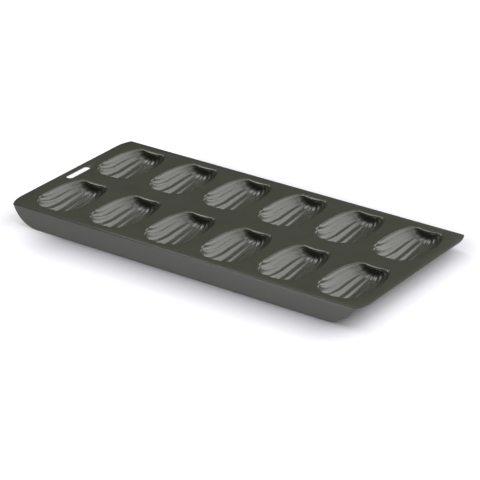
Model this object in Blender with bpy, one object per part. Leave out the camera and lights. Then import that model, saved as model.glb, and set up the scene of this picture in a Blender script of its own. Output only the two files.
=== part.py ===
# Madeleine tray: one sheet of coated steel, drawn into twelve fluted shell cups
# and folded down along both long edges, so that it stands on the two flaps.
# Blender 4.5, metres, +Z up. The origin is under the middle of the tray, at the
# height of the table. The long side runs along X and the front edge faces -Y.
#
# The real tray is a single pressing. Here it is parted along the lines where the
# press forms it: the flat deck with its two folds, the straight flaps below the
# folds, and each drawn cup with the flat ring round its mouth.

import math

import bmesh
import bpy
from mathutils import Vector

MM = 0.001

# The sheet
sheet_length = 395 * MM
sheet_width = 195 * MM              # across the feet of the two flaps
tray_height = 18.4 * MM             # table to the top of the deck
sheet_gauge = 0.8 * MM
blank_corner_radius = 36.8 * MM     # corner of the flat blank, before it is folded
fold_radius = 1.8 * MM              # outside of the fold
fold_angle = math.radians(78.4)     # how far the flaps are turned down
fold_steps = 4
corner_steps = 8

# The hanging slot near the left end
slot_length = 32.8 * MM
slot_width = 7.0 * MM
slot_edge_distance = 6.3 * MM       # from the short edge to the slot
slot_end_steps = 8

# Where the cups stand
cups_per_row = 6
slot_margin = 13.8 * MM             # from the slotted short edge to the first cup's mouth
plain_margin = 11.4 * MM            # and from the last cup's mouth to the other one
web_share = 0.545                   # share of the spare width that lies between the rows

# One cup, measured from its widest line; the heel is the blunt end at the back
mouth_half_width = 25.4 * MM
heel_half_width = 13.2 * MM
heel_reach = 38.5 * MM              # widest line to the heel's edge
nose_reach = 34.4 * MM              # widest line to the tip of the round nose
nose_fullness = 2.5                 # 2 is a half ellipse in plan, more is squarer
cup_depth = 14.9 * MM               # to the crests between the flutes
heel_depth = 8.3 * MM               # height of the plain wall at the heel
heel_wall_angle = math.radians(82)
lip_radius = 2.5 * MM               # roll from the deck into the cup
lip_angle = math.radians(72)
ring_width = 1.0 * MM               # flat ring of each cup outside its mouth
section_fullness = 1.1              # 1 is a half ellipse, 2 a flat parabola
floor_fullness = 3.6                # the same along the middle line, towards the nose

# The flutes fan out from the heel and end evenly spaced round the nose
flute_count = 9                     # one of them on the middle line
flute_depth = 1.15 * MM
scallop = 0.65                      # share of the depth left where they meet the nose
flute_spread = 0.15                 # 0 spaces the flutes evenly by angle
steps_per_flute = 2
heel_rows = 4                       # rows of facets from the widest line to the heel
nose_rows = 3                       # and from the widest line to the nose
lip_rows = 2

# Gap left between two neighbouring solids
join_gap = 0.3 * MM

# Sizes that follow from the ones above
fold_drop = fold_radius * (1 - math.cos(fold_angle))
fold_run = fold_radius * math.sin(fold_angle)
flap_length = (tray_height - fold_drop) / math.sin(fold_angle)
flat_half_width = sheet_width / 2 - fold_run - flap_length * math.cos(fold_angle)
fold_arc = fold_radius * fold_angle
blank_half_width = flat_half_width + fold_arc + flap_length
half_length = sheet_length / 2
mouth_width = 2 * mouth_half_width
mouth_length = heel_reach + nose_reach
cup_pitch = (sheet_length - slot_margin - plain_margin - mouth_width) / (cups_per_row - 1)
row_pitch = mouth_length + web_share * 2 * (flat_half_width - mouth_length)

UP = Vector((0, 0, 1))


def clear_scene():
    for obj in list(bpy.data.objects):
        bpy.data.objects.remove(obj, do_unlink=True)


def coating(name, colour, roughness, metallic):
    """Dark satin non-stick coating."""
    material = bpy.data.materials.new(name)
    material.use_nodes = True
    shader = material.node_tree.nodes["Principled BSDF"]
    shader.inputs["Base Color"].default_value = (*colour, 1)
    shader.inputs["Roughness"].default_value = roughness
    shader.inputs["Metallic"].default_value = metallic
    material.diffuse_color = (*colour, 1)
    return material


def add_solid(name, mesh_builder, material, smooth_angle=30):
    """Make an object from a bmesh. Its round faces are shaded smooth, and the
    edges marked as seams stay crisp."""
    mesh = bpy.data.meshes.new(name)
    mesh_builder.to_mesh(mesh)
    mesh_builder.free()
    mesh.materials.append(material)
    mesh.shade_smooth()
    mesh.set_sharp_from_angle(angle=math.radians(smooth_angle))
    for edge in mesh.edges:
        if edge.use_seam:
            edge.use_edge_sharp = True
    obj = bpy.data.objects.new(name, mesh)
    bpy.context.collection.objects.link(obj)
    return obj


def thicken(skin, gauge, normal_at, base=-1.0):
    """Turn an open skin, seen from its upper side, into sheet of the given gauge.

    The skin stays as it is, and the lower side lies one gauge behind it along
    the normal that normal_at gives. A point that would lie under the base slides
    up along the sheet to it, so that a foot is cut level.
    """
    skin.normal_update()
    top = list(skin.verts)
    faces = list(skin.faces)
    free_edges = [edge for edge in skin.edges if edge.is_boundary]
    creases = [tuple(edge.verts) for edge in skin.edges if edge.seam]
    below = {}
    for vert in top:
        normal = normal_at(vert)
        point = vert.co - normal * gauge
        if point.z < base:
            along = normal.cross(Vector((1, 0, 0)))
            point += along * ((base - point.z) / along.z)
        below[vert] = skin.verts.new(point)
    for edge in free_edges:
        first, second = edge.verts
        # the edge runs with its face on the left, so the wall turns it round
        loop = edge.link_loops[0]
        if loop.vert is second:
            first, second = second, first
        skin.faces.new((second, first, below[first], below[second]))
    for face in faces:
        skin.faces.new([below[vert] for vert in reversed(face.verts)])
    for first, second in creases:
        skin.edges.get((below[first], below[second])).seam = True
    bmesh.ops.recalc_face_normals(skin, faces=skin.faces)
    return skin


def square_to_cup(vert):
    return UP if vert.is_boundary else vert.normal


def square_to_deck(vert):
    """Normal of the deck, which leans outwards round the folds."""
    beyond = abs(vert.co.y) - flat_half_width
    if beyond <= 0:
        return UP
    angle = math.atan2(beyond, vert.co.z - (tray_height - fold_radius))
    return Vector((0, math.copysign(math.sin(angle), vert.co.y), math.cos(angle)))


def square_to_flap(vert):
    return vert.normal


# The folded blank

def blank_end(across):
    """Distance from the short edge to the blank's outline, at a distance across
    from the middle line, measured on the flat blank."""
    into_corner = abs(across) - (blank_half_width - blank_corner_radius)
    if into_corner <= 0:
        return 0.0
    into_corner = min(into_corner, blank_corner_radius)
    return blank_corner_radius - math.sqrt(blank_corner_radius ** 2 - into_corner ** 2)


def fold(x, across):
    """Move a point of the flat blank to its place on the folded sheet."""
    side = 1 if across >= 0 else -1
    beyond = abs(across) - flat_half_width
    if beyond <= 0:
        return Vector((x, across, tray_height))
    angle = min(beyond, fold_arc) / fold_radius
    y = flat_half_width + fold_radius * math.sin(angle)
    z = tray_height - fold_radius * (1 - math.cos(angle))
    straight = max(beyond - fold_arc, 0)
    y += straight * math.cos(fold_angle)
    z -= straight * math.sin(fold_angle)
    return Vector((x, side * y, z))


def corner_stations(start, end, steps):
    """Distances across the blank, evenly spaced along the corner arc."""
    base = blank_half_width - blank_corner_radius
    first = math.asin(min(max((start - base) / blank_corner_radius, 0), 1))
    last = math.asin(min(max((end - base) / blank_corner_radius, 0), 1))
    turns = [first + (last - first) * step / steps for step in range(steps + 1)]
    return [base + blank_corner_radius * math.sin(turn) for turn in turns]


# The outline of a cup's mouth

def mouth_side(turn, grow):
    """Point on the right side of the mouth: turn 0 at the widest line and a
    quarter turn at the heel's corner. grow offsets the outline outwards."""
    reach = mouth_half_width - heel_half_width
    x = heel_half_width + grow + reach * math.cos(turn)
    y = (heel_reach + grow) * math.sin(turn)
    return Vector((x, y, 0))


def mouth_nose(turn, grow):
    """Point on the nose of the mouth, turn 0 at its tip."""
    x = (mouth_half_width + grow) * abs(math.sin(turn)) ** (2 / nose_fullness)
    y = -(nose_reach + grow) * abs(math.cos(turn)) ** (2 / nose_fullness)
    return Vector((math.copysign(x, turn), y, 0))


lip_inset = lip_radius * math.sin(lip_angle)
lip_drop = lip_radius * (1 - math.cos(lip_angle))
rib_steps = flute_count * steps_per_flute
heel_turns = [math.radians(90) * row / heel_rows for row in range(heel_rows + 1)]


def rib_turn(step):
    """Angle of a line of facets round the cup's section, from side to side. The
    section is shallow, so the angles crowd to the middle to make the flutes even."""
    across = 2 * step / rib_steps - 1
    return math.pi / 2 * across * (1 - flute_spread * (1 - across ** 2))


def even_nose_turns():
    """Turns that space the lines of facets evenly round the edge of the nose."""
    samples = 720
    turns = [math.pi * (index / samples - 0.5) for index in range(samples + 1)]
    points = [mouth_nose(turn, -lip_inset) for turn in turns]
    travelled = [0.0]
    for first, second in zip(points, points[1:]):
        travelled.append(travelled[-1] + (second - first).length)
    even = []
    index = 0
    for step in range(rib_steps + 1):
        target = travelled[-1] * step / rib_steps
        while index < samples - 1 and travelled[index + 1] < target:
            index += 1
        part = (target - travelled[index]) / (travelled[index + 1] - travelled[index])
        even.append(turns[index] + (turns[index + 1] - turns[index]) * part)
    return even


nose_turns = even_nose_turns()


def mouth_loop(grow):
    """The closed outline of the mouth, anticlockwise from the heel's left corner."""
    left = [mouth_side(turn, grow) * Vector((-1, 1, 1)) for turn in reversed(heel_turns[1:])]
    nose = [mouth_nose(turn, grow) for turn in nose_turns]
    right = [mouth_side(turn, grow) for turn in heel_turns[1:]]
    return left + nose + right


# The fluted inside of a cup

def flute(step):
    """Share of the flute's depth at a line of facets, 0 on the crests."""
    part = (step % steps_per_flute) / steps_per_flute
    return 1 - (2 * part - 1) ** 2 if part else 0.0


def heel_point(step, turn):
    """Point on the crests' surface between the widest line and the heel."""
    round_section = rib_turn(step)
    side = mouth_side(turn, -lip_inset)
    depth = heel_depth + (cup_depth - heel_depth) * math.cos(turn) ** 1.2
    sunk = (depth - lip_drop) * math.cos(round_section) ** section_fullness
    lean = sunk / math.tan(heel_wall_angle) * math.sin(turn) ** 6
    return Vector((side.x * math.sin(round_section), side.y - lean, -lip_drop - sunk))


def nose_point(step, part):
    """Point on the crests' surface, part of the way from the widest line to
    the nose along its flute."""
    half_width = mouth_half_width - lip_inset
    start = Vector((half_width * math.sin(rib_turn(step)), 0, 0))
    point = start.lerp(mouth_nose(nose_turns[step], -lip_inset), part)
    along = min(-point.y / (nose_reach - lip_inset), 1)
    room = half_width * (1 - along ** nose_fullness) ** (1 / nose_fullness)
    across = min(abs(point.x) / room, 1) if part < 1 else 1
    bowl = (1 - across ** 2) * (1 - along ** floor_fullness)
    point.z = -lip_drop - (cup_depth - lip_drop) * bowl ** (section_fullness / 2)
    return point


def flute_rows():
    """Rows of points over the fluted surface, from the nose to the heel, with
    the share of the flute's depth that each row takes."""
    rows = []
    for row in range(nose_rows, 0, -1):
        part = math.sin(math.radians(90) * row / nose_rows)
        share = 1.0 if row < nose_rows else scallop
        rows.append(([nose_point(step, part) for step in range(rib_steps + 1)], share))
    for turn in heel_turns:
        width = mouth_side(turn, -lip_inset).x / (mouth_half_width - lip_inset)
        rows.append(([heel_point(step, turn) for step in range(rib_steps + 1)], width))
    return rows


def grid_faces(skin, rows):
    for lower, upper in zip(rows, rows[1:]):
        for step in range(len(lower) - 1):
            corners = (lower[step], lower[step + 1], upper[step + 1], upper[step])
            kept = []
            for vert in corners:
                if vert not in kept:
                    kept.append(vert)
            if len(kept) > 2:
                skin.faces.new(kept)


def crease_flutes(skin, rows):
    """Mark the lines of the flutes, which stay crisp over the smooth bowl."""
    for lower, upper in zip(rows[1:], rows[2:]):
        for first, second in zip(lower[1:-1], upper[1:-1]):
            edge = skin.edges.get((first, second))
            if edge:
                edge.seam = True


def cup_skin():
    """The upper side of one cup: flat ring, rolled lip, flutes and heel wall."""
    skin = bmesh.new()
    rows = []
    shares = []
    for points, share in flute_rows():
        rows.append([skin.verts.new(point) for point in points])
        shares.append(share)
    # the two ends of the nose rows all lie on the widest points of the mouth
    widest = rows[nose_rows]
    for row in rows[:nose_rows]:
        for end in (0, -1):
            skin.verts.remove(row[end])
            row[end] = widest[end]
    grid_faces(skin, rows)
    heel = rows[-1]
    skin.faces.new(heel)
    # sink the flutes square to the crests' surface
    skin.normal_update()
    moves = []
    for row, share in zip(rows, shares):
        for step, vert in enumerate(row):
            depth = flute_depth * share * flute(step)
            if depth > 0:
                moves.append((vert, vert.normal * depth))
    for vert, move in moves:
        vert.co -= move
    crease_flutes(skin, rows)
    # the lip rolls up from the wall to the flat ring
    wall = [row[0] for row in reversed(rows[nose_rows:])][:-1]
    wall += rows[0]
    wall += [row[-1] for row in rows[nose_rows + 1:]]
    loops = [wall]
    for row in range(lip_rows - 1, -1, -1):
        angle = lip_angle * row / lip_rows
        inset = lip_radius * math.sin(angle)
        drop = lip_radius * (1 - math.cos(angle))
        loops.append([skin.verts.new(point - UP * drop) for point in mouth_loop(-inset)])
    loops.append([skin.verts.new(point) for point in mouth_loop(ring_width)])
    for inner, outer in zip(loops, loops[1:]):
        count = len(inner)
        for step in range(count):
            after = (step + 1) % count
            skin.faces.new((inner[step], outer[step], outer[after], inner[after]))
    bmesh.ops.recalc_face_normals(skin, faces=skin.faces)
    return skin


def cup_places():
    """Names and centres of the cups' widest lines, on the deck's top."""
    middle = (heel_reach - nose_reach) / 2
    for row_name, side in (("front", -1), ("back", 1)):
        for column in range(cups_per_row):
            x = -half_length + slot_margin + mouth_half_width + column * cup_pitch
            y = side * row_pitch / 2 - middle
            yield f"cup_{row_name}_{column + 1}", Vector((x, y, tray_height))


def build_cups(material):
    skin = thicken(cup_skin(), sheet_gauge, square_to_cup)
    for name, place in cup_places():
        cup = skin.copy()
        bmesh.ops.translate(cup, verts=cup.verts, vec=place)
        add_solid(name, cup, material, smooth_angle=62)
    skin.free()


# The deck and the flaps

def slot_outline():
    """The slot's outline, parallel to the short edge, with round ends."""
    radius = slot_width / 2
    centre_x = -half_length + slot_edge_distance + radius
    reach = slot_length / 2 - radius
    points = []
    for side in (1, -1):
        for step in range(slot_end_steps + 1):
            angle = math.pi * step / slot_end_steps
            x = centre_x + side * radius * math.cos(angle)
            y = side * (reach + radius * math.sin(angle))
            points.append(Vector((x, y, tray_height)))
    return points


def closed_edges(skin, points):
    verts = [skin.verts.new(point) for point in points]
    return [skin.edges.new((verts[i - 1], verts[i])) for i in range(len(verts))]


def deck_skin():
    """The upper side of the deck with its two folds, pierced for the cups and
    the slot."""
    skin = bmesh.new()
    flat = corner_stations(0, flat_half_width, corner_steps // 2)
    outline = []
    for x_side, y_side in ((-1, 1), (-1, -1), (1, -1), (1, 1)):
        stations = reversed(flat) if x_side * y_side < 0 else flat
        for across in stations:
            x = x_side * (half_length - blank_end(across))
            outline.append(fold(x, y_side * across))
    edges = closed_edges(skin, outline)
    edges += closed_edges(skin, slot_outline())
    for _, place in cup_places():
        edges += closed_edges(skin, [point + place for point in mouth_loop(ring_width + join_gap)])
    bmesh.ops.triangle_fill(skin, use_beauty=True, use_dissolve=False, edges=edges)
    skin.verts.ensure_lookup_table()
    # the folds carry on from the two long edges
    for side in (-1, 1):
        ends = [vert for vert in skin.verts if abs(vert.co.y - side * flat_half_width) < join_gap / 10]
        ends.sort(key=lambda vert: vert.co.x)
        row = [ends[0], ends[-1]]
        for step in range(1, fold_steps + 1):
            across = flat_half_width + fold_arc * step / fold_steps
            x = half_length - blank_end(across)
            lower = [skin.verts.new(fold(end, side * across)) for end in (-x, x)]
            skin.faces.new((row[0], row[1], lower[1], lower[0]))
            row = lower
    bmesh.ops.recalc_face_normals(skin, faces=skin.faces)
    if max(skin.faces, key=lambda face: face.calc_area()).normal.z < 0:
        bmesh.ops.reverse_faces(skin, faces=skin.faces)
    return skin


def build_deck(material):
    add_solid("deck", thicken(deck_skin(), sheet_gauge, square_to_deck), material)


def build_flap(name, side, material):
    """The straight part below a fold, a flat plate with rounded corners."""
    skin = bmesh.new()
    stations = corner_stations(flat_half_width + fold_arc + join_gap, blank_half_width, corner_steps)
    ends = [(half_length - blank_end(across), side * across) for across in stations]
    outline = [fold(x, across) for x, across in ends]
    outline += [fold(-x, across) for x, across in reversed(ends)]
    face = skin.faces.new([skin.verts.new(point) for point in outline])
    face.normal_update()
    if face.normal.z < 0:
        face.normal_flip()
    add_solid(name, thicken(skin, sheet_gauge, square_to_flap, base=0), material)


def build():
    clear_scene()
    deck_coating = coating("deck_coating", (0.064, 0.066, 0.052), 0.42, 0.0)
    cup_coating = coating("cup_coating", (0.075, 0.077, 0.068), 0.34, 0.0)
    flap_coating = coating("flap_coating", (0.084, 0.086, 0.072), 0.45, 0.0)
    build_deck(deck_coating)
    build_flap("front_flap", -1, flap_coating)
    build_flap("back_flap", 1, flap_coating)
    build_cups(cup_coating)


build()
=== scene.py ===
import math

import bmesh
import bpy
import numpy as np
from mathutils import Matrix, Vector


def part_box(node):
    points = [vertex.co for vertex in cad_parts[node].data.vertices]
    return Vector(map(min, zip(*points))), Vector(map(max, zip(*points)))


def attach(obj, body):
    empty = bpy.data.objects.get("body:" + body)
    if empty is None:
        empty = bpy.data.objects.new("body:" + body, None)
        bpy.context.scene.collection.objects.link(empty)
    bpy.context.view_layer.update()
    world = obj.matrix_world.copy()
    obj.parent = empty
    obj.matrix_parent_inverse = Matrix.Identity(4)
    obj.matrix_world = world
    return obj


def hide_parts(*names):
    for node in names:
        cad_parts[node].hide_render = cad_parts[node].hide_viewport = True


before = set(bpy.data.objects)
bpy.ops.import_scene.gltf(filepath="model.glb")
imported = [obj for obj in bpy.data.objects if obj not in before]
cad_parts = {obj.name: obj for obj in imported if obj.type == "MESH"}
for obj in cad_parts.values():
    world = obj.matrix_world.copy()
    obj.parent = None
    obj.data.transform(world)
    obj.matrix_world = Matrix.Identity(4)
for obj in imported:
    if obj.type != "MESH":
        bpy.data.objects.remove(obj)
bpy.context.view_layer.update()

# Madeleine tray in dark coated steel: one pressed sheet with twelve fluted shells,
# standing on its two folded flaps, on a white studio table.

mm = 0.001
gauge = 0.8                 # of the steel sheet, in millimetres
hair = 1e-6                 # closer than this is the same place
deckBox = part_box("deck")
topHeight = deckBox[1].z

print("stage: camera")

# The view of the photograph, solved from the tray's edges, folds and cup tips
camera = {
    "place": (1.16480, -1.68113, 0.95803),
    "turn": (64.81564, -0.27691, 34.73270),     # degrees, XYZ
    "lens": 179.88,
    "sensor": 36.0,
    "nearest": 0.05,
    "farthest": 40.0,
}


def setCamera():
    data = bpy.data.cameras.new("trayCamera")
    data.sensor_width = camera["sensor"]
    data.lens = camera["lens"]
    data.clip_start = camera["nearest"]
    data.clip_end = camera["farthest"]
    obj = bpy.data.objects.new("trayCamera", data)
    bpy.context.scene.collection.objects.link(obj)
    obj.location = camera["place"]
    obj.rotation_euler = [math.radians(turn) for turn in camera["turn"]]
    bpy.context.scene.camera = obj


setCamera()

print("stage: coatings")


def addNode(tree, kind, place, **values):
    node = tree.nodes.new(kind)
    node.location = place
    for key, value in values.items():
        setattr(node, key, value)
    return node


coating = {
    "tone": (0.046, 0.050, 0.0345),         # warm olive black of the baked coating
    "toneLight": (0.053, 0.057, 0.0415),    # where it lies thinner
    "toneWorn": (0.075, 0.077, 0.066),      # rubbed crests and cut edges
    "cloudScale": 38.0,                     # soft clouds of colour, per metre
    "cloudSpan": (0.32, 0.68),              # levels of the noise that they run between
    "cloudDetail": 4,
    "cloudRough": 0.55,
    "grainScale": 900.0,                    # orange peel of the sprayed coat
    "grainDetail": 2,
    "speckScale": 2600.0,
    "grainHeight": 0.000012,
    "speckHeight": 0.000006,
    "roughLow": 0.27,
    "roughHigh": 0.35,
    "ior": 1.65,
}


def makeCoating(name, settings):
    # sprayed satin coat: clouded olive colour, fine orange peel, rubbed where "wear" says;
    # a colour mix has its two colours on sockets 6 and 7 and gives them on 2
    material = bpy.data.materials.new(name)
    material.use_nodes = True
    tree = material.node_tree
    shader = tree.nodes["Principled BSDF"]
    shader.inputs["Metallic"].default_value = 0.0
    shader.inputs["IOR"].default_value = settings["ior"]
    spot = addNode(tree, "ShaderNodeTexCoord", (-1500, 0))
    cloud = addNode(tree, "ShaderNodeTexNoise", (-1250, 260))
    cloud.inputs["Scale"].default_value = settings["cloudScale"]
    cloud.inputs["Detail"].default_value = settings["cloudDetail"]
    cloud.inputs["Roughness"].default_value = settings["cloudRough"]
    grain = addNode(tree, "ShaderNodeTexNoise", (-1250, -60))
    grain.inputs["Scale"].default_value = settings["grainScale"]
    grain.inputs["Detail"].default_value = settings["grainDetail"]
    speck = addNode(tree, "ShaderNodeTexVoronoi", (-1250, -360))
    speck.inputs["Scale"].default_value = settings["speckScale"]
    for pattern in (cloud, grain, speck):
        tree.links.new(spot.outputs["Object"], pattern.inputs["Vector"])
    wear = addNode(tree, "ShaderNodeAttribute", (-1250, -640), attribute_name="wear")

    clouded = addNode(tree, "ShaderNodeMix", (-900, 260), data_type="RGBA")
    clouded.inputs[6].default_value = (*settings["tone"], 1)
    clouded.inputs[7].default_value = (*settings["toneLight"], 1)
    spread = addNode(tree, "ShaderNodeMapRange", (-1070, 260))
    spread.inputs["From Min"].default_value = settings["cloudSpan"][0]
    spread.inputs["From Max"].default_value = settings["cloudSpan"][1]
    tree.links.new(cloud.outputs["Fac"], spread.inputs["Value"])
    tree.links.new(spread.outputs["Result"], clouded.inputs[0])
    rubbed = addNode(tree, "ShaderNodeMix", (-620, 200), data_type="RGBA")
    rubbed.inputs[7].default_value = (*settings["toneWorn"], 1)
    tree.links.new(clouded.outputs[2], rubbed.inputs[6])
    patchy = addNode(tree, "ShaderNodeMath", (-900, -560), operation="MULTIPLY")
    tree.links.new(wear.outputs["Fac"], patchy.inputs[0])
    tree.links.new(grain.outputs["Fac"], patchy.inputs[1])
    tree.links.new(patchy.outputs[0], rubbed.inputs[0])
    tree.links.new(rubbed.outputs[2], shader.inputs["Base Color"])

    gloss = addNode(tree, "ShaderNodeMapRange", (-620, -60))
    gloss.inputs["To Min"].default_value = settings["roughLow"]
    gloss.inputs["To Max"].default_value = settings["roughHigh"]
    tree.links.new(grain.outputs["Fac"], gloss.inputs["Value"])
    tree.links.new(gloss.outputs["Result"], shader.inputs["Roughness"])

    peel = addNode(tree, "ShaderNodeBump", (-420, -300))
    peel.inputs["Distance"].default_value = settings["grainHeight"]
    tree.links.new(grain.outputs["Fac"], peel.inputs["Height"])
    pits = addNode(tree, "ShaderNodeBump", (-220, -400))
    pits.inputs["Distance"].default_value = settings["speckHeight"]
    tree.links.new(speck.outputs["Distance"], pits.inputs["Height"])
    tree.links.new(peel.outputs["Normal"], pits.inputs["Normal"])
    tree.links.new(pits.outputs["Normal"], shader.inputs["Normal"])
    return material


sheetCoat = makeCoating("satinCoatSheet", coating)
cupCoat = makeCoating("satinCoatCups", coating)

print("stage: shells")

# One shell, in millimetres from its widest line on the deck's top; -y is the nose
shell = {
    "perRow": 6,
    "halfWidth": 25.4,
    "heelHalfWidth": 13.2,
    "heelReach": 38.5,
    "noseReach": 34.4,
    "noseFullness": 2.5,        # 2 is a half ellipse in plan, more is squarer
    "deepest": 15.5,            # floor line, to the crests between the flutes
    "heelDepth": 6.5,
    "heelScoop": 2.0,           # how much the floor curls up before the heel's wall
    "heelRun": 9.0,             # over how long
    "scoopBend": 1.4,           # and how gently it starts
    "floorBend": 1.8,           # how late the floor rises towards the heel
    "noseRise": 4.0,            # how late it rises at the nose
    "section": 0.87,            # 0.5 is a half ellipse across, 1 a parabola
    "heelSection": 1.25,        # the same at the heel
    "sectionBend": 6,           # how late the one turns into the other
    "heelWallAngle": 85.0,
    "heelSplay": 30.0,          # how much less steep the wall is at its two corners
    "wallBend": 8,              # how late the sides lean in towards it
    "heelFillet": 0.6,          # between the floor and the heel's wall
    "filletShare": 0.7,         # where the wall is low, no more than this share of it
    "lipRadius": 0.9,
    "lipAngle": 52.0,
    "heelLip": 5.0,             # the lip is a wider and flatter shoulder along the heel
    "heelLipAngle": 34.0,
    "heelLipFade": 1.8,         # how soon it narrows towards the heel's corners
    "ringWidth": 3.2,           # the flat ring that is drawn with each shell
    "solidRing": 1.0,           # the same ring on the solid that it replaces
    "flutes": 9,
    "spread": 0.12,             # 0 spaces the flutes evenly by angle, more narrows the middle
    "nosePitch": 0.208,         # crests round the nose, as a share of half its edge
    "noseEnd": 0.87,            # where the outermost crest meets the edge, likewise
    "fluteDepth": 1.35,
    "crestRound": 0.10,         # rounding of the crests, as a share of half a flute
    "crestRub": 6.0,            # how narrow the rubbed line along each crest is
    "heelShare": 0.28,          # of the flutes' depth, at the heel
    "wallShare": 0.55,          # and of that at the foot of the heel's wall
    "wallFade": 3,              # how soon they fade up the wall
    "noseShare": (1.4, 1.4, 1.2, 0.8, 0.3),     # of the depth at the nose, from the middle out
    "sideShare": (1, 1, 0.9, 0.6, 0.3),         # and behind the widest line
    "fingerOut": (0.8, 1.0, 1.2, 1.1, 0.2),     # flute ends past the edge, from the middle out
    "fingerSkew": (1.0, 1.2, 1.4, 1.5, 1.5),    # how far each end leans to the tip
    "stepsPerFlute": 10,
    "heelRows": 24,
    "noseRows": 22,
    "wallRows": 6,
    "lipRows": 5,
    "edgeSamples": 1500,        # to measure along the edge of the nose
    "sharpAngle": 75.0,         # edges bent more than this stay sharp
}

lipInset = shell["lipRadius"] * math.sin(math.radians(shell["lipAngle"]))
lipDrop = shell["lipRadius"] * (1 - math.cos(math.radians(shell["lipAngle"])))
ribSteps = shell["flutes"] * shell["stepsPerFlute"]


def ribTurn(step):
    # angle across the shell at a step of the flutes, 0 in the middle
    across = 2 * step / ribSteps - 1
    return math.pi / 2 * across * (1 - shell["spread"] * (1 - across ** 2))


def fluteAt(step):
    # flute counted from the middle one, and the place in it from its outer crest inwards
    fromMiddle = abs(step / shell["stepsPerFlute"] - shell["flutes"] / 2)
    number = min(int(fromMiddle + 0.5), shell["flutes"] // 2)
    return number, min(max(0.5 + number - fromMiddle, 0), 1)


def skewedTurn(step, amount):
    # the flute's lowest line leans towards the tip of the nose by this amount
    number, place = fluteAt(step)
    if number == 0:
        return step / shell["stepsPerFlute"]
    power = 1 + (shell["fingerSkew"][number] - 1) * amount
    leaned = place ** power
    fromMiddle = 0.5 + number - leaned
    side = 1 if step > ribSteps / 2 else -1
    return shell["flutes"] / 2 + side * fromMiddle


def fingerEnd(step):
    # how far the rounded end of a flute reaches past the edge of the nose
    number, place = fluteAt(step)
    leaned = place ** shell["fingerSkew"][number]
    return shell["fingerOut"][number] * (1 - (2 * leaned - 1) ** 2)


def mouthSide(turn, grow):
    # edge of the mouth from its widest line, at 0, to the heel's corner, at a right angle
    belly = shell["halfWidth"] - shell["heelHalfWidth"]
    x = shell["heelHalfWidth"] + grow + belly * math.cos(turn)
    return Vector((x, (shell["heelReach"] + grow) * math.sin(turn), 0))


def mouthNose(turn, grow):
    # and round the nose, from its tip, at 0, to the widest line
    x = (shell["halfWidth"] + grow) * abs(math.sin(turn)) ** (2 / shell["noseFullness"])
    y = -(shell["noseReach"] + grow) * abs(math.cos(turn)) ** (2 / shell["noseFullness"])
    return Vector((math.copysign(x, turn), y, 0))


def edgeTurns():
    # turns that space the flutes' ends round the edge of the nose
    turns = np.linspace(0, math.pi / 2, shell["edgeSamples"])
    points = np.array([mouthNose(turn, -lipInset)[:2] for turn in turns])
    gone = np.concatenate([[0], np.cumsum(np.hypot(*np.diff(points, axis=0).T))])
    gone /= gone[-1]
    last = shell["flutes"] // 2 - 0.5
    placed = []
    for step in range(ribSteps + 1):
        fromMiddle = abs(step / shell["stepsPerFlute"] - shell["flutes"] / 2)
        share = min(fromMiddle, last) * shell["nosePitch"]
        share += max(fromMiddle - last, 0) * (shell["noseEnd"] - last * shell["nosePitch"])
        placed.append(math.copysign(np.interp(share, gone, turns), step - ribSteps / 2))
    return placed


# places of the grid's lines: round the nose, out to it, down its sides and back to the heel
noseTurns = edgeTurns()
noseParts = [math.sin(math.pi / 2 * row / shell["noseRows"]) for row in range(shell["noseRows"] + 1)]
sideTurns = [math.pi / 2 - (math.pi / 2 - noseTurns[-1]) * row / shell["noseRows"]
             for row in range(shell["noseRows"] + 1)]
heelTurns = [math.pi / 2 * row / shell["heelRows"] for row in range(shell["heelRows"] + 1)]


def floorDepth(y):
    # of the crests along the middle line, below the lip
    toHeel = (y + shell["noseReach"]) / (shell["noseReach"] + shell["heelReach"])
    heelEnd = shell["heelDepth"] + shell["heelScoop"]
    depth = shell["deepest"] - (shell["deepest"] - heelEnd) * max(toHeel, 0) ** shell["floorBend"]
    curl = max(1 - (shell["heelReach"] - y) / shell["heelRun"], 0)
    return depth - shell["heelScoop"] * curl ** shell["scoopBend"] - lipDrop


def heelRound(step):
    # what the lip's radius gains along the heel, fading out at its two corners
    return (shell["heelLip"] - shell["lipRadius"]) * math.cos(ribTurn(step)) ** shell["heelLipFade"]


def heelPoint(step, turn):
    # a point of the bowl behind its widest line
    across = math.sin(ribTurn(step))
    side = mouthSide(turn, -lipInset)
    toHeel = math.sin(turn)
    section = shell["section"] + (shell["heelSection"] - shell["section"]) * toHeel ** shell["sectionBend"]
    sunk = floorDepth(side.y) * max(1 - across ** 2, 0) ** section
    wall = (shell["heelDepth"] - lipDrop) * max(1 - across ** 2, 0) ** section
    lean = wall / math.tan(math.radians(shell["heelWallAngle"] - shell["heelSplay"] * across ** 2))
    lean += heelRound(step) * math.sin(math.radians(shell["heelLipAngle"]))
    fillet = min(shell["heelFillet"], shell["filletShare"] * wall)
    toWall = min(max(shell["heelReach"] - lipInset - side.y, 0), fillet)
    if fillet > 0:
        sunk -= fillet - math.sqrt(fillet ** 2 - (fillet - toWall) ** 2)
    return Vector((side.x * across, side.y - lean * toHeel ** shell["wallBend"], -lipDrop - sunk))


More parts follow.
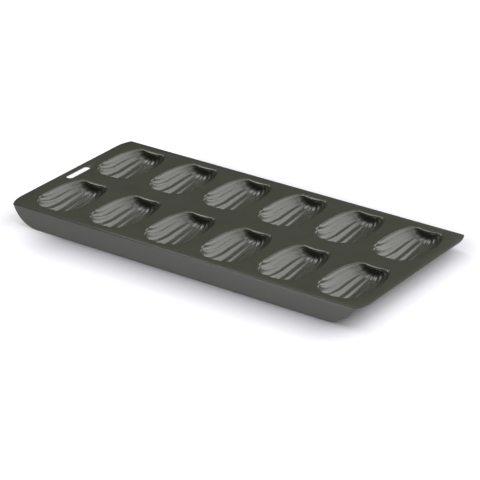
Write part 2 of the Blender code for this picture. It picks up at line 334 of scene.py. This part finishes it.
def nosePoint(step, row):
    # and in front of it
    halfWidth = shell["halfWidth"] - lipInset
    part = noseParts[row]
    start = Vector((halfWidth * math.sin(ribTurn(step)), 0, 0))
    point = start.lerp(mouthNose(noseTurns[step], -lipInset), part)
    # the outermost flutes bend along with the outline
    outer = abs(2 * step - ribSteps) / 2 / shell["stepsPerFlute"] - shell["flutes"] // 2 + 0.5
    if outer > 0:
        bend = mouthNose(sideTurns[row], -lipInset)
        bend -= mouthNose(sideTurns[0], -lipInset).lerp(mouthNose(sideTurns[-1], -lipInset), part)
        point += bend * Vector((math.copysign(1, point.x), 1, 0)) * outer ** 2
    along = min(-point.y / (shell["noseReach"] - lipInset), 1)
    room = halfWidth * (1 - along ** shell["noseFullness"]) ** (1 / shell["noseFullness"])
    across = min(abs(point.x) / room, 1) if part < 1 and outer < 1 else 1
    sunk = floorDepth(point.y) * (1 - across ** 2) ** shell["section"]
    point.z = -lipDrop - sunk * (1 - along ** shell["noseRise"]) ** 0.5
    return point


def mouthLoop(grow):
    # closed, from the heel's left corner round the nose and back along the heel
    right = [mouthNose(turn, grow) for turn in reversed(sideTurns[:-1])]
    right += [mouthSide(turn, grow) for turn in heelTurns[1:]]
    left = [point * Vector((-1, 1, 1)) for point in reversed(right)]
    nose = [mouthNose(turn, grow) for turn in noseTurns]
    heelHalf = shell["heelHalfWidth"] + grow
    heel = [Vector((heelHalf * math.sin(ribTurn(step)), shell["heelReach"] + grow, 0))
            for step in range(ribSteps - 1, 0, -1)]
    return left + nose + right + heel


def fluteRows(addPoint):
    # from the tip of the nose to the heel, each row across the shell from left to right
    rows = []
    for row in range(shell["noseRows"], 0, -1):
        toNose = noseParts[row] ** 2
        points = []
        for step in range(ribSteps + 1):
            number = fluteAt(step)[0]
            side = shell["sideShare"][number]
            share = side + (shell["noseShare"][number] - side) * toNose
            points.append(addPoint(nosePoint(step, row), skewedTurn(step, toNose), share))
        rows.append(points)
    for turn in heelTurns:
        share = 1 + (shell["heelShare"] - 1) * math.sin(turn)
        points = []
        for step in range(ribSteps + 1):
            side = shell["sideShare"][fluteAt(step)[0]]
            points.append(addPoint(heelPoint(step, turn), skewedTurn(step, 0), share * side))
        rows.append(points)
    return rows


def wallRows(heelRow, addPoint):
    # the plain wall at the heel, from its foot up to the lip's lower edge
    edge = heelRow[0].co / mm
    lipTurn = math.radians(shell["heelLipAngle"])
    rows = []
    for row in range(1, shell["wallRows"] + 1):
        part = row / shell["wallRows"]
        fade = shell["wallShare"] * (1 - part) ** shell["wallFade"]
        points = [heelRow[0]]
        for step in range(1, ribSteps):
            foot = heelRow[step].co
            rounder = heelRound(step)
            top = Vector((foot.x / mm, edge.y - rounder * math.sin(lipTurn),
                          edge.z - rounder * (1 - math.cos(lipTurn))))
            share = shell["heelShare"] * fade
            points.append(addPoint((foot / mm).lerp(top, part), skewedTurn(step, 0), share))
        rows.append(points + [heelRow[-1]])
    return rows


def joinRows(bowl, lower, upper):
    # rows may share their end points, which leaves a triangle there
    for step in range(len(lower) - 1):
        kept = []
        for vert in (lower[step], lower[step + 1], upper[step + 1], upper[step]):
            if vert not in kept:
                kept.append(vert)
        if len(kept) > 2:
            bowl.faces.new(kept)


def joinLoops(bowl, inner, outer):
    count = len(inner)
    for step in range(count):
        after = (step + 1) % count
        bowl.faces.new((inner[step], outer[step], outer[after], inner[after]))


def rollLip(bowl, rows, addPoint):
    # the lip rolls up from the open edge of the rows to the flat ring
    corner = shell["noseRows"] + shell["heelRows"]
    left = [row[0] for row in reversed(rows[1:corner + 1])]
    right = [row[-1] for row in rows[1:corner + 1]]
    heel = list(reversed(rows[-1][1:-1]))
    inner = left + rows[0] + right + heel
    noseStart = len(left)
    heelStart = noseStart + len(rows[0]) + len(right)
    for row in range(shell["lipRows"] - 1, -1, -1):
        angle = math.radians(shell["lipAngle"]) * row / shell["lipRows"]
        drop = shell["lipRadius"] * (1 - math.cos(angle))
        outer = []
        for place, point in enumerate(mouthLoop(-shell["lipRadius"] * math.sin(angle))):
            share = 0.0
            turn = 0.0
            step = place - noseStart
            if 0 <= step <= ribSteps:
                # the flutes run out through the lip at the nose in rounded ends
                toLip = math.sin(angle) / math.sin(math.radians(shell["lipAngle"]))
                turn = skewedTurn(step, 1)
                share = shell["noseShare"][fluteAt(step)[0]] * toLip
                outwards = mouthNose(noseTurns[step], 1) - mouthNose(noseTurns[step], 0)
                point += outwards.normalized() * fingerEnd(step) * (1 - toLip)
            elif place >= heelStart:
                rounder = heelRound(ribSteps - 1 - (place - heelStart))
                flatter = angle * shell["heelLipAngle"] / shell["lipAngle"]
                point -= Vector((0, math.sin(flatter), 1 - math.cos(flatter))) * rounder
            outer.append(addPoint(point - Vector((0, 0, drop)), turn, share))
        joinLoops(bowl, inner, outer)
        inner = outer
    joinLoops(bowl, inner, [addPoint(point, 0.0, 0.0) for point in mouthLoop(shell["ringWidth"])])


def makeBowl():
    # the smooth shell before its flutes are pressed, with each point's place on the
    # fan ("fluteTurn") and its share of the flutes' depth ("fluteShare")
    bowl = bmesh.new()
    turnLayer = bowl.verts.layers.float.new("fluteTurn")
    shareLayer = bowl.verts.layers.float.new("fluteShare")

    def addPoint(point, turn, share):
        vert = bowl.verts.new(point * mm)
        vert[turnLayer] = turn
        vert[shareLayer] = share
        return vert

    rows = fluteRows(addPoint)
    rows += wallRows(rows[-1], addPoint)
    for lower, upper in zip(rows, rows[1:]):
        joinRows(bowl, lower, upper)
    rollLip(bowl, rows, addPoint)
    bmesh.ops.recalc_face_normals(bowl, faces=bowl.faces)
    if sum(face.normal.z for face in bowl.faces) < 0:
        bmesh.ops.reverse_faces(bowl, faces=bowl.faces)
    mesh = bpy.data.meshes.new("shellBowl")
    bowl.to_mesh(mesh)
    bowl.free()
    return mesh


def makeFluteTree():
    # presses concave flutes into a bowl, square to it, then sets it in its place
    tree = bpy.data.node_groups.new("pressFlutes", "GeometryNodeTree")
    face = tree.interface
    face.new_socket("Geometry", in_out="INPUT", socket_type="NodeSocketGeometry")
    for name, kind in (("Flute Depth", "NodeSocketFloat"), ("Crest Round", "NodeSocketFloat"),
                       ("Place", "NodeSocketVector"), ("Coat", "NodeSocketMaterial")):
        face.new_socket(name, in_out="INPUT", socket_type=kind)
    face.new_socket("Geometry", in_out="OUTPUT", socket_type="NodeSocketGeometry")

    def putNode(kind, row, **values):
        # each node to the right of the last
        return addNode(tree, kind, (160 * len(tree.nodes) - 2400, -260 * row), **values)

    def calc(operation, first, second=None):
        node = putNode("ShaderNodeMath", 1, operation=operation)
        for socket, value in zip(node.inputs, (first, second)):
            if isinstance(value, (int, float)):
                socket.default_value = value
            elif value is not None:
                tree.links.new(value, socket)
        return node.outputs[0]

    def readLayer(name):
        node = putNode("GeometryNodeInputNamedAttribute", 2, data_type="FLOAT")
        node.inputs["Name"].default_value = name
        return node.outputs["Attribute"]

    source = putNode("NodeGroupInput", 0)
    crestRound = source.outputs["Crest Round"]
    share = readLayer("fluteShare")
    # distance from the flute's middle, 0 there and 1 on the crests
    part = calc("FRACT", readLayer("fluteTurn"))
    fromMiddle = calc("ABSOLUTE", calc("SUBTRACT", calc("MULTIPLY", part, 2.0), 1.0))
    # the crest is rounded off over a short way
    toCrest = calc("SUBTRACT", 1.0, fromMiddle)
    roundOff = calc("MULTIPLY", crestRound, crestRound)
    softened = calc("SQRT", calc("ADD", calc("MULTIPLY", toCrest, toCrest), roundOff))
    rest = calc("SUBTRACT", 1.0, calc("SUBTRACT", softened, crestRound))
    profile = calc("SUBTRACT", 1.0, calc("MULTIPLY", rest, rest))
    depth = calc("MULTIPLY", calc("MULTIPLY", profile, share), source.outputs["Flute Depth"])
    # the crests are rubbed most
    rubbing = calc("MULTIPLY", calc("POWER", rest, shell["crestRub"]), share)

    normal = putNode("GeometryNodeInputNormal", 2)
    push = putNode("ShaderNodeVectorMath", 1, operation="SCALE")
    tree.links.new(normal.outputs[0], push.inputs[0])
    tree.links.new(calc("MULTIPLY", depth, -1.0), push.inputs["Scale"])
    stain = putNode("GeometryNodeStoreNamedAttribute", 0, data_type="FLOAT", domain="POINT")
    stain.inputs["Name"].default_value = "wear"
    tree.links.new(source.outputs["Geometry"], stain.inputs["Geometry"])
    tree.links.new(rubbing, stain.inputs["Value"])
    press = putNode("GeometryNodeSetPosition", 0)
    tree.links.new(stain.outputs["Geometry"], press.inputs["Geometry"])
    tree.links.new(push.outputs[0], press.inputs["Offset"])
    seat = putNode("GeometryNodeTransform", 0)
    tree.links.new(press.outputs["Geometry"], seat.inputs["Geometry"])
    tree.links.new(source.outputs["Place"], seat.inputs["Translation"])
    real = putNode("GeometryNodeRealizeInstances", 0)
    tree.links.new(seat.outputs[0], real.inputs[0])
    coat = putNode("GeometryNodeSetMaterial", 0)
    tree.links.new(real.outputs[0], coat.inputs["Geometry"])
    tree.links.new(source.outputs["Coat"], coat.inputs["Material"])
    result = putNode("NodeGroupOutput", 0)
    tree.links.new(coat.outputs[0], result.inputs[0])
    return tree


def setInputs(modifier, tree, values):
    # values by the names of the group's own sockets
    for item in tree.interface.items_tree:
        if item.item_type == "SOCKET" and item.in_out == "INPUT" and item.name in values:
            modifier[item.identifier] = values[item.name]


def bakeMesh(obj, name):
    # the finished mesh with its modifiers in it, and without the layers that only they read
    graph = bpy.context.evaluated_depsgraph_get()
    mesh = bpy.data.meshes.new_from_object(obj.evaluated_get(graph), preserve_all_data_layers=True,
                                           depsgraph=graph)
    mesh.name = name
    for layer in ("fluteTurn", "fluteShare"):
        mesh.attributes.remove(mesh.attributes[layer])
    obj.modifiers.clear()
    obj.data = mesh


def makeCup(name, node, bowlMesh, fluteTree):
    low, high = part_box(node)
    reachDown = (shell["noseReach"] + shell["solidRing"]) * mm
    place = Vector(((low.x + high.x) / 2, low.y + reachDown, topHeight))
    cup = bpy.data.objects.new(name, bowlMesh.copy())
    bpy.context.scene.collection.objects.link(cup)
    flutes = cup.modifiers.new("flutes", "NODES")
    flutes.node_group = fluteTree
    setInputs(flutes, fluteTree, {
        "Flute Depth": shell["fluteDepth"] * mm,
        "Crest Round": shell["crestRound"],
        "Place": place,
        "Coat": cupCoat,
    })
    steel = cup.modifiers.new("steel", "SOLIDIFY")
    steel.thickness = gauge * mm
    steel.offset = -1
    steel.use_even_offset = False
    bakeMesh(cup, name)
    for vert in cup.data.vertices[len(bowlMesh.vertices):]:
        # the lower side stays under the ring where the flutes' ends crowd together
        vert.co.z = min(vert.co.z, topHeight - gauge * mm)
    cup.data.shade_smooth()
    cup.data.set_sharp_from_angle(angle=math.radians(shell["sharpAngle"]))
    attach(cup, "root")
    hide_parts(node)
    return place


def makeCups():
    # two rows, and the places of their widest lines
    bowlMesh = makeBowl()
    fluteTree = makeFluteTree()
    places = []
    for row in ("front", "back"):
        for column in range(1, shell["perRow"] + 1):
            name = f"cup{row.capitalize()}{column}"
            places.append(makeCup(name, f"cup_{row}_{column}", bowlMesh, fluteTree))
    return places


cupPlaces = makeCups()

print("stage: sheet")

# The pressed sheet: deck, folds and flaps in one, in millimetres
sheet = {
    "length": 395.0,
    "width": 195.0,             # across the feet of the flaps
    "foldRadius": 1.3,
    "foldAngle": 78.4,
    "cornerRadius": 36.8,       # of the flat blank, before it is folded
    "cornerSteps": 28,
    "foldSteps": 8,
    "slotLength": 32.8,
    "slotWidth": 7.0,
    "slotFromEdge": 6.3,
    "slotSteps": 20,
    "edgeRound": 0.2,           # the cut edges are a little rounded by the coating
    "edgeSteps": 2,
    "edgeWear": 1.0,            # how rubbed the cut edges and the folds are
    "foldWear": 0.45,
    "sharpAngle": 40.0,
}
halfLength = sheet["length"] / 2
height = topHeight / mm
foldAngle = math.radians(sheet["foldAngle"])
foldDrop = sheet["foldRadius"] * (1 - math.cos(foldAngle))
foldRun = sheet["foldRadius"] * math.sin(foldAngle)
flapLength = (height - foldDrop) / math.sin(foldAngle)
flatHalf = sheet["width"] / 2 - foldRun - flapLength * math.cos(foldAngle)
foldArc = sheet["foldRadius"] * foldAngle
blankHalf = flatHalf + foldArc + flapLength


def blankEnd(across):
    # from the short edge to the outline, on the flat blank
    inCorner = min(max(abs(across) - (blankHalf - sheet["cornerRadius"]), 0), sheet["cornerRadius"])
    return sheet["cornerRadius"] - math.sqrt(sheet["cornerRadius"] ** 2 - inCorner ** 2)


def foldOver(x, across):
    # where a point of the blank is on the folded sheet
    side = 1 if across >= 0 else -1
    beyond = abs(across) - flatHalf
    if beyond <= 0:
        return Vector((x, across, height))
    angle = min(beyond, foldArc) / sheet["foldRadius"]
    y = flatHalf + sheet["foldRadius"] * math.sin(angle)
    z = height - sheet["foldRadius"] * (1 - math.cos(angle))
    straight = max(beyond - foldArc, 0)
    y += straight * math.cos(foldAngle)
    z -= straight * math.sin(foldAngle)
    return Vector((x, side * y, z))


def cornerStations(start, end, steps):
    # distances from the middle line that follow the round corner of the blank evenly
    base = blankHalf - sheet["cornerRadius"]
    first = math.asin(min(max((start - base) / sheet["cornerRadius"], 0), 1))
    last = math.asin(min(max((end - base) / sheet["cornerRadius"], 0), 1))
    turns = [first + (last - first) * step / steps for step in range(steps + 1)]
    return [base + sheet["cornerRadius"] * math.sin(turn) for turn in turns]


def slotLoop():
    radius = sheet["slotWidth"] / 2
    centre = -halfLength + sheet["slotFromEdge"] + radius
    reach = sheet["slotLength"] / 2 - radius
    points = []
    for side in (1, -1):
        for step in range(sheet["slotSteps"] + 1):
            angle = math.pi * step / sheet["slotSteps"]
            points.append(Vector((centre + side * radius * math.cos(angle),
                                  side * (reach + radius * math.sin(angle)), height)))
    return points


def fillDeck(skin, ring):
    # flat fill between the outline, the slot and the cups' rings
    def closedEdges(points):
        verts = [skin.verts.new(point * mm) for point in points]
        return [skin.edges.new((verts[i - 1], verts[i])) for i in range(len(verts))]

    flat = cornerStations(0, flatHalf, sheet["cornerSteps"] // 2)
    outline = []
    for xSide, ySide in ((-1, 1), (-1, -1), (1, -1), (1, 1)):
        for across in (reversed(flat) if xSide * ySide < 0 else flat):
            outline.append(foldOver(xSide * (halfLength - blankEnd(across)), ySide * across))
    edges = closedEdges(outline)
    edges += closedEdges(slotLoop())
    ringLoop = mouthLoop(shell["ringWidth"])
    for place in cupPlaces:
        ringEdges = closedEdges([point + place / mm for point in ringLoop])
        for edge in ringEdges:
            edge.verts[0][ring] = 1
        edges += ringEdges
    bmesh.ops.triangle_fill(skin, use_beauty=True, use_dissolve=False, edges=edges)


def foldFlaps(skin, wear):
    # the folds and flaps carry on from the deck's two long edges
    foldSteps = sheet["foldSteps"]
    stations = [flatHalf + foldArc * step / foldSteps for step in range(1, foldSteps + 1)]
    stations += cornerStations(flatHalf + foldArc, blankHalf, sheet["cornerSteps"])[1:]
    for side in (-1, 1):
        ends = [vert for vert in skin.verts if abs(vert.co.y - side * flatHalf * mm) < hair]
        ends.sort(key=lambda vert: vert.co.x)
        row = [ends[0], ends[-1]]
        for across in stations:
            x = halfLength - blankEnd(across)
            lower = [skin.verts.new(foldOver(end, side * across) * mm) for end in (-x, x)]
            face = skin.faces.new((row[0], row[1], lower[1], lower[0]))
            if across <= flatHalf + foldArc:
                face[wear] = sheet["foldWear"]
            row = lower


def makeSheet():
    # the upper side, with its rubbing ("wear") and the edges that meet the cups ("ring")
    skin = bmesh.new()
    wear = skin.faces.layers.float.new("wear")
    ring = skin.verts.layers.int.new("ring")
    fillDeck(skin, ring)
    foldFlaps(skin, wear)
    bmesh.ops.recalc_face_normals(skin, faces=skin.faces)
    if max(skin.faces, key=lambda face: face.calc_area()).normal.z < 0:
        bmesh.ops.reverse_faces(skin, faces=skin.faces)
    return skin


def outOfSheet(point):
    # the way out of the sheet at a point of its upper side
    beyond = abs(point.y) / mm - flatHalf
    if beyond <= hair:
        return Vector((0, 0, 1))
    angle = math.atan2(beyond, point.z / mm - (height - sheet["foldRadius"]))
    angle = min(angle, foldAngle) if point.z / mm > height - foldDrop - hair else foldAngle
    return Vector((0, math.copysign(math.sin(angle), point.y), math.cos(angle)))


def thickenSheet(skin):
    # the lower side, one gauge behind the upper one, and the cut edge between them
    wear = skin.faces.layers.float["wear"]
    ring = skin.verts.layers.int["ring"]
    top = list(skin.verts)
    faces = list(skin.faces)
    corners = []
    border = [edge for edge in skin.edges if edge.is_boundary]
    below = {}
    for vert in top:
        out = outOfSheet(vert.co)
        point = vert.co - out * gauge * mm
        if point.z < 0:
            # the foot is cut level with the table
            along = out.cross(Vector((1, 0, 0)))
            point += along * (-point.z / along.z)
        below[vert] = skin.verts.new(point)
    for edge in border:
        first, second = edge.verts
        if edge.link_loops[0].vert is second:
            first, second = second, first
        cut = skin.faces.new((second, first, below[first], below[second]))
        if first[ring] and second[ring]:
            # no cut edge, for the metal carries on in the cup's ring
            continue
        cut[wear] = sheet["edgeWear"]
        corners += [edge, skin.edges.get((below[first], below[second]))]
    for face in faces:
        skin.faces.new([below[vert] for vert in reversed(face.verts)])
    bmesh.ops.recalc_face_normals(skin, faces=skin.faces)
    rounded = bmesh.ops.bevel(skin, geom=corners, offset=sheet["edgeRound"] * mm, offset_type="OFFSET",
                              segments=sheet["edgeSteps"], profile=0.5, affect="EDGES",
                              clamp_overlap=False)
    for face in rounded["faces"]:
        face[wear] = sheet["edgeWear"]
    for vert in skin.verts:
        vert.co.z = min(max(vert.co.z, 0), topHeight)
    return skin


def makeTraySheet():
    skin = thickenSheet(makeSheet())
    mesh = bpy.data.meshes.new("traySheet")
    skin.to_mesh(mesh)
    skin.free()
    mesh.materials.append(sheetCoat)
    obj = bpy.data.objects.new("traySheet", mesh)
    bpy.context.scene.collection.objects.link(obj)
    mesh.shade_smooth()
    mesh.set_sharp_from_angle(angle=math.radians(sheet["sharpAngle"]))
    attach(obj, "root")
    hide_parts("deck", "front_flap", "back_flap")


makeTraySheet()

print("stage: studio")

# in metres
studio = {
    "tableSize": 9.0,
    "tableDrop": 0.0002,                # keeps its top clear of the tray's feet
    "tableTone": (0.54, 0.533, 0.577),
    # painted shadow: by the tray the camera sees no glow, so the floor there shows darker than the open
    # floor
    "glowNear": 0.0,                    # what the camera sees on top of the light, by the tray
    "glowFar": 0.58,                    # and away from it
    "paintedShadowMiddle": (0.020, 0, 0),      # the glow is low in a box round here
    "paintedShadowHalf": (0.140, 0.090, 1),
    "paintedShadowFade": (0.004, 0.068),       # and comes up over this distance from it
    "worldTone": 0.05,
}

# azimuth from +X towards +Y, elevation, distance, width and height in metres,
# and the level at which a white card held close to it would show
softBoxes = {
    "windowBack": (57, 27, 2.5, 3.1, 2.2, 2.7),
    "skyBack": (57, 62, 2.2, 1.5, 1.0, 2.3),
    "overStrip": (160, 86, 2.0, 0.5, 2.5, 2.6),
    "highLeft": (158, 52, 2.2, 1.0, 0.7, 4.4),
    "fillRight": (-14, 38, 2.2, 1.6, 1.2, 2.2),
    "stripFront": (260, 1.5, 2.0, 1.6, 0.09, 25.0),
}


def makeWhiteTableWithPaintedShadow():
    # matt white with a glow that the camera sees fade round the tray: a painted shadow, the floor there
    # darker than the open white, which deepens the tray's real shadow
    material = bpy.data.materials.new("whiteTable")
    material.use_nodes = True
    tree = material.node_tree
    tree.nodes.remove(tree.nodes["Principled BSDF"])
    output = tree.nodes["Material Output"]
    matt = addNode(tree, "ShaderNodeBsdfDiffuse", (-400, 100))
    matt.inputs["Color"].default_value = (*studio["tableTone"], 1)
    glow = addNode(tree, "ShaderNodeEmission", (-400, -100))
    rays = addNode(tree, "ShaderNodeLightPath", (-900, -100))
    spot = addNode(tree, "ShaderNodeTexCoord", (-1300, -400))
    # distance from the box of painted shadow round the tray
    steps = (("SUBTRACT", studio["paintedShadowMiddle"]), ("ABSOLUTE", None), ("SUBTRACT", studio["paintedShadowHalf"]),
             ("MAXIMUM", (0, 0, 0)), ("LENGTH", None))
    place = spot.outputs["Object"]
    for number, (operation, value) in enumerate(steps):
        away = addNode(tree, "ShaderNodeVectorMath", (number * 160 - 1700, -600), operation=operation)
        tree.links.new(place, away.inputs[0])
        if value:
            away.inputs[1].default_value = value
        place = away.outputs[0]
    # painted shadow: the glow comes up only away from the box round the tray
    fade = addNode(tree, "ShaderNodeMapRange", (-760, -400), interpolation_type="SMOOTHSTEP")
    fade.inputs["From Min"].default_value = studio["paintedShadowFade"][0]
    fade.inputs["From Max"].default_value = studio["paintedShadowFade"][1]
    fade.inputs["To Min"].default_value = studio["glowNear"]
    fade.inputs["To Max"].default_value = studio["glowFar"]
    tree.links.new(away.outputs["Value"], fade.inputs["Value"])
    # the camera sees the fading glow, gloss and glass see all of it
    direct = addNode(tree, "ShaderNodeMath", (-560, -160), operation="MULTIPLY")
    tree.links.new(rays.outputs["Is Camera Ray"], direct.inputs[0])
    tree.links.new(fade.outputs["Result"], direct.inputs[1])
    mirrored = addNode(tree, "ShaderNodeMath", (-740, -60), operation="MAXIMUM")
    tree.links.new(rays.outputs["Is Glossy Ray"], mirrored.inputs[0])
    tree.links.new(rays.outputs["Is Transmission Ray"], mirrored.inputs[1])
    level = addNode(tree, "ShaderNodeMath", (-400, -260), operation="MULTIPLY_ADD")
    level.inputs[1].default_value = studio["glowFar"]
    tree.links.new(mirrored.outputs[0], level.inputs[0])
    tree.links.new(direct.outputs[0], level.inputs[2])
    both = addNode(tree, "ShaderNodeAddShader", (-150, 0))
    tree.links.new(level.outputs[0], glow.inputs["Strength"])
    tree.links.new(matt.outputs[0], both.inputs[0])
    tree.links.new(glow.outputs[0], both.inputs[1])
    tree.links.new(both.outputs[0], output.inputs["Surface"])
    return material


def makeTable():
    mesh = bpy.data.meshes.new("tableTop")
    half = studio["tableSize"] / 2
    corners = [(-half, -half), (half, -half), (half, half), (-half, half)]
    mesh.from_pydata([(x, y, -studio["tableDrop"]) for x, y in corners], [], [(0, 1, 2, 3)])
    mesh.materials.append(makeWhiteTableWithPaintedShadow())
    table = bpy.data.objects.new("tableTop", mesh)
    bpy.context.scene.collection.objects.link(table)


def addSoftBox(name, azimuth, elevation, distance, width, tall, level):
    data = bpy.data.lights.new(name, "AREA")
    data.shape = "RECTANGLE"
    data.size = width
    data.size_y = tall
    data.energy = level * math.pi * width * tall
    obj = bpy.data.objects.new(name, data)
    bpy.context.scene.collection.objects.link(obj)
    azimuth = math.radians(azimuth)
    elevation = math.radians(elevation)
    toward = Vector((math.cos(azimuth) * math.cos(elevation), math.sin(azimuth) * math.cos(elevation),
                     math.sin(elevation)))
    obj.location = toward * distance
    obj.rotation_euler = toward.to_track_quat("Z", "Y").to_euler()


def lightStudio():
    world = bpy.data.worlds.new("studioRoom")
    bpy.context.scene.world = world
    world.use_nodes = True
    room = world.node_tree.nodes["Background"]
    room.inputs["Color"].default_value = (1, 1, 1, 1)
    room.inputs["Strength"].default_value = studio["worldTone"]
    for name, values in softBoxes.items():
        addSoftBox(name, *values)
    bpy.context.scene.view_settings.view_transform = "Standard"


makeTable()
lightStudio()

print("stage: sizes")
